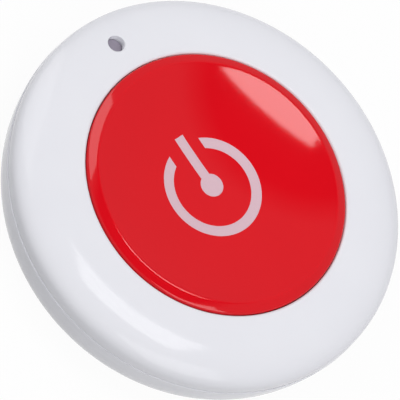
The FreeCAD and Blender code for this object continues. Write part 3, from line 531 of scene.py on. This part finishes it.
# Status light
# A 3 mm LED cast in epoxy, whose tip fills the hole in the crown with a nearly flat face.
# Unlit, the resin shows a soft grey in the shadow of the hole: its grey base colour is partly the chip and
# its cup under it seen through the resin, and partly painted shade.
LENS = 1.5 * MM
LENS_FLANGE = 1.9 * MM
LENS_FLANGE_THICK = 0.9 * MM
LENS_FLANGE_EDGE = 0.05 * MM
LENS_SHOULDER = 0.1 * MM
LENS_SHOULDER_EDGE = 0.05 * MM
LENS_TIP = 1.2 * MM
TIP_ROUND = 0.15 * MM
TIP_DROP = 0.2 * MM
TIP_CROWN = 11 * MM
lens_low, lens_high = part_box("led_lens")
lens_flange_top = lens_low.z + LENS_FLANGE_THICK
lens = turned("light_lens", [
    (LENS_FLANGE, lens_low.z), (LENS_FLANGE, lens_flange_top - LENS_FLANGE_EDGE),
    (LENS_FLANGE - LENS_FLANGE_EDGE, lens_flange_top), (LENS, lens_flange_top),
    (LENS, ceiling - LENS_SHOULDER), (LENS_TIP, ceiling - LENS_SHOULDER_EDGE),
] + arc((LENS_TIP - TIP_ROUND, lens_high.z - TIP_DROP), TIP_ROUND, TIP_ROUND, 0, 84, 6)
    + [(LENS_TIP * share, lens_high.z - (LENS_TIP * share)**2 / (2 * TIP_CROWN))
       for share in (0.7, 0.45, 0.2, 0)], segments=64, place=(0, light_y))
close_ends(lens)
smooth(lens)
epoxy, tree, surface, place = finish_of("cast epoxy")
cloud = add(tree, "TexNoise", {"Vector": place, "Scale": 1 / (0.8 * MM), "Detail": 2.0})
# The grey-mauve resin colour is partly the chip and cup seen through it, and partly painted shade of the
# hole.
resin_grey_and_painted_shade = add(tree, "Mix", {"Factor": cloud.outputs["Fac"], "A": linear("#BCB3C4"), "B": linear("#B1A8B9")},
            data_type="RGBA")
tree.links.new(resin_grey_and_painted_shade.outputs["Result"], surface.inputs["Base Color"])
surface.inputs["Roughness"].default_value = 0.18
surface.inputs["IOR"].default_value = 1.54
surface.inputs["Transmission Weight"].default_value = 0.35
lens.data.materials.append(epoxy)
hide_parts("led_lens")
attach(lens, "housing")


def give(material, *names):
    """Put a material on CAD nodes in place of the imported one."""
    for name in names:
        nodes[name].data.materials.clear()
        nodes[name].data.materials.append(material)


def metal(name, colour, dark, roughness, spacing):
    """Plated or rolled metal: hairlines at the given spacing, drawn wider apart than real ones to show."""
    material, tree, surface, place = finish_of(name)
    stretch = add(tree, "Mapping", {"Vector": place, "Scale": (1.0, 12.0, 12.0)})
    lines = add(tree, "TexNoise", {"Vector": stretch.outputs["Vector"], "Scale": 1 / (12 * spacing),
                                   "Detail": 3.0})
    tone = add(tree, "Mix", {"Factor": lines.outputs["Fac"], "A": linear(colour), "B": linear(dark)},
               data_type="RGBA")
    spread = add(tree, "MapRange", {"Value": lines.outputs["Fac"], "To Min": roughness * 0.7,
                                    "To Max": roughness * 1.3})
    relief = add(tree, "Bump", {"Height": lines.outputs["Fac"], "Distance": 0.003 * MM, "Strength": 0.4})
    tree.links.new(tone.outputs["Result"], surface.inputs["Base Color"])
    tree.links.new(spread.outputs["Result"], surface.inputs["Roughness"])
    tree.links.new(relief.outputs["Normal"], surface.inputs["Normal"])
    surface.inputs["Metallic"].default_value = 1.0
    return material


give(white_abs, "battery_door")
give(metal("nickel-plated steel can", "#C9C9C6", "#B4B4B0", 0.25, 0.1 * MM), "coin_cell")
give(metal("nickel-plated spring strip", "#CFC9BC", "#B9B3A5", 0.3, 0.08 * MM),
     "positive_clip", "negative_contact", "switch_dome")

# Circuit board
# Green solder mask over glass-epoxy: the weave of the glass, 0.5 mm a thread, shows through the gloss.
# The antenna loop is left bare of mask, so it is copper.
THREAD = 0.5 * MM
mask, tree, surface, place = finish_of("green solder mask on glass-epoxy")
warp = add(tree, "TexWave", {"Vector": place, "Scale": 1 / THREAD / 20, "Distortion": 0.4},
           bands_direction="X")
weft = add(tree, "TexWave", {"Vector": place, "Scale": 1 / THREAD / 20, "Distortion": 0.4},
           bands_direction="Y")
weave = add(tree, "Math", {0: warp.outputs["Fac"], 1: weft.outputs["Fac"]}, operation="MULTIPLY")
green = add(tree, "Mix", {"Factor": weave.outputs["Value"], "A": linear("#155A2C"), "B": linear("#1D6B38")},
            data_type="RGBA")
relief = add(tree, "Bump", {"Height": weave.outputs["Value"], "Distance": 0.01 * MM, "Strength": 0.3})
tree.links.new(green.outputs["Result"], surface.inputs["Base Color"])
tree.links.new(relief.outputs["Normal"], surface.inputs["Normal"])
surface.inputs["Roughness"].default_value = 0.28
give(mask, "circuit_board")
give(metal("bare copper track", "#C98F62", "#B77C50", 0.35, 0.06 * MM), "antenna_loop")

# Chips and the push switch
# Black moulding compound is matt with specks of its silica filler. Leads, terminals and the switch's
# cover are tinned sheet, and the resonator and capacitors are fired ceramic.
compound, tree, surface, place = finish_of("black moulding compound")
specks = add(tree, "TexNoise", {"Vector": place, "Scale": 1 / (0.12 * MM), "Detail": 4.0})
black = add(tree, "Mix", {"Factor": specks.outputs["Fac"], "A": linear("#1C1C1E"), "B": linear("#2A2A2D")},
            data_type="RGBA")
relief = add(tree, "Bump", {"Height": specks.outputs["Fac"], "Distance": 0.01 * MM, "Strength": 0.5})
tree.links.new(black.outputs["Result"], surface.inputs["Base Color"])
tree.links.new(relief.outputs["Normal"], surface.inputs["Normal"])
surface.inputs["Roughness"].default_value = 0.6
give(compound, "switch_housing", "switch_plunger", "encoder_chip", "rf_transistor", "chip_resistors")

ceramic, tree, surface, place = finish_of("fired ceramic")
grains = add(tree, "TexNoise", {"Vector": place, "Scale": 1 / (0.2 * MM), "Detail": 3.0})
tan = add(tree, "Mix", {"Factor": grains.outputs["Fac"], "A": linear("#C9B594"), "B": linear("#B8A382")},
          data_type="RGBA")
tree.links.new(tan.outputs["Result"], surface.inputs["Base Color"])
surface.inputs["Roughness"].default_value = 0.5
give(ceramic, "saw_resonator", "chip_capacitors")
give(metal("tinned sheet", "#D0D0CE", "#B8B8B6", 0.35, 0.06 * MM),
     "switch_terminals", "switch_cover", "encoder_leads", "transistor_leads", "led_leads")

# Case screws
# Three pan-head screws in zinc-plated steel, seen from below in their counterbores.
give(metal("zinc-plated steel", "#B4B6BA", "#9C9EA3", 0.3, 0.05 * MM), "case_screws")

# Stage
# A plain white table in a room with pale walls and a dim ceiling, which the near half of the bowl mirrors.
# One lamp hangs nearly overhead, seen in the bowl and the crown, and two large ones stand left and right.
TABLE_BELOW = 0.02 * MM
TABLE_SHARE = 0.91
TABLE_GLOW = 1.04
WALL_GLOW = 0.43
CEILING_GLOW = 0.04
bpy.ops.object.select_all(action="DESELECT")
bpy.ops.mesh.primitive_plane_add(size=6, location=(0, 0, -TABLE_BELOW))
floor = bpy.context.object
floor.name = "table"
paper, tree, surface, place = finish_of("white table")
surface.inputs["Base Color"].default_value = linear("#B8B8B8")
surface.inputs["Roughness"].default_value = 0.9
surface.inputs["Specular IOR Level"].default_value = 0.0
path = add(tree, "LightPath", {})
glossy = add(tree, "Math", {0: path.outputs["Is Camera Ray"], 1: path.outputs["Is Glossy Ray"]},
             operation="MAXIMUM")
seen = add(tree, "Math", {0: glossy.outputs["Value"], 1: path.outputs["Is Transmission Ray"]},
           operation="MAXIMUM")
share = add(tree, "Math", {0: seen.outputs["Value"], 1: TABLE_SHARE}, operation="MULTIPLY")
white = add(tree, "Emission", {"Color": linear("#FFFFFF"), "Strength": TABLE_GLOW})
both = add(tree, "MixShader", {0: share.outputs["Value"], 1: surface.outputs["BSDF"],
                               2: white.outputs["Emission"]})
tree.links.new(both.outputs["Shader"], tree.nodes["Material Output"].inputs["Surface"])
floor.data.materials.append(paper)

world = bpy.data.worlds.new("soft room")
world.use_nodes = True
room = world.node_tree
room.nodes["Background"].inputs["Color"].default_value = linear("#F8F9FB")
toward = add(room, "SeparateXYZ", {"Vector": add(room, "TexCoord", {}).outputs["Generated"]})
walls = add(room, "MapRange", {"Value": toward.outputs["Z"], "From Min": math.sin(math.radians(60)),
                               "From Max": math.sin(math.radians(67)), "To Min": WALL_GLOW,
                               "To Max": CEILING_GLOW})
room.links.new(walls.outputs["Result"], room.nodes["Background"].inputs["Strength"])
bpy.context.scene.world = world


def lamp(name, place, size, lengthwise, brightness):
    """A soft box aimed at the remote: its width and length, the way its length runs, and its radiance."""
    light = bpy.data.lights.new(name, "AREA")
    light.shape = "RECTANGLE"
    light.size, light.size_y = size
    light.energy = brightness * math.pi * size[0] * size[1]
    holder = bpy.data.objects.new(name, light)
    back = (Vector(place) - Vector((0, 0, parting))).normalized()
    across = Vector(lengthwise).cross(back).normalized()
    aimed = Matrix((across, back.cross(across), back)).transposed().to_4x4()
    holder.matrix_world = Matrix.Translation(place) @ aimed
    bpy.context.scene.collection.objects.link(holder)


lamp("overhead window", (0.033, -0.021, 0.311), (0.083, 0.116), (0.294, -0.956, 0), 7.6)
lamp("left softbox", (0.079, 1.13, 0.823), (0.8, 1.3), (-0.041, -0.586, 0.809), 2.35)
lamp("right softbox", (-0.486, -0.842, 1.007), (0.8, 1.0), (0.36, 0.623, 0.695), 3.3)

CAMERA_DISTANCE = 250 * MM
CAMERA_ASIDE = (-1.25 * MM, -1.217 * MM)
CAMERA_HEADING = -81.6
CAMERA_TILT = 32.3
CAMERA_ROLL = 46.07
camera = bpy.data.cameras.new("camera")
camera.lens = 157.0
camera.sensor_width = 36
camera.clip_start = 0.01
watcher = bpy.data.objects.new("camera", camera)
turned_camera = (Matrix.Rotation(math.radians(CAMERA_HEADING), 4, "Z")
                 @ Matrix.Rotation(math.radians(CAMERA_TILT), 4, "X")
                 @ Matrix.Rotation(math.radians(CAMERA_ROLL), 4, "Z"))
aside = turned_camera @ Vector((*CAMERA_ASIDE, CAMERA_DISTANCE))
watcher.matrix_world = Matrix.Translation(Vector((0, 0, parting)) + aside) @ turned_camera
bpy.context.scene.collection.objects.link(watcher)
bpy.context.scene.camera = watcher
bpy.context.scene.view_settings.view_transform = "Standard"
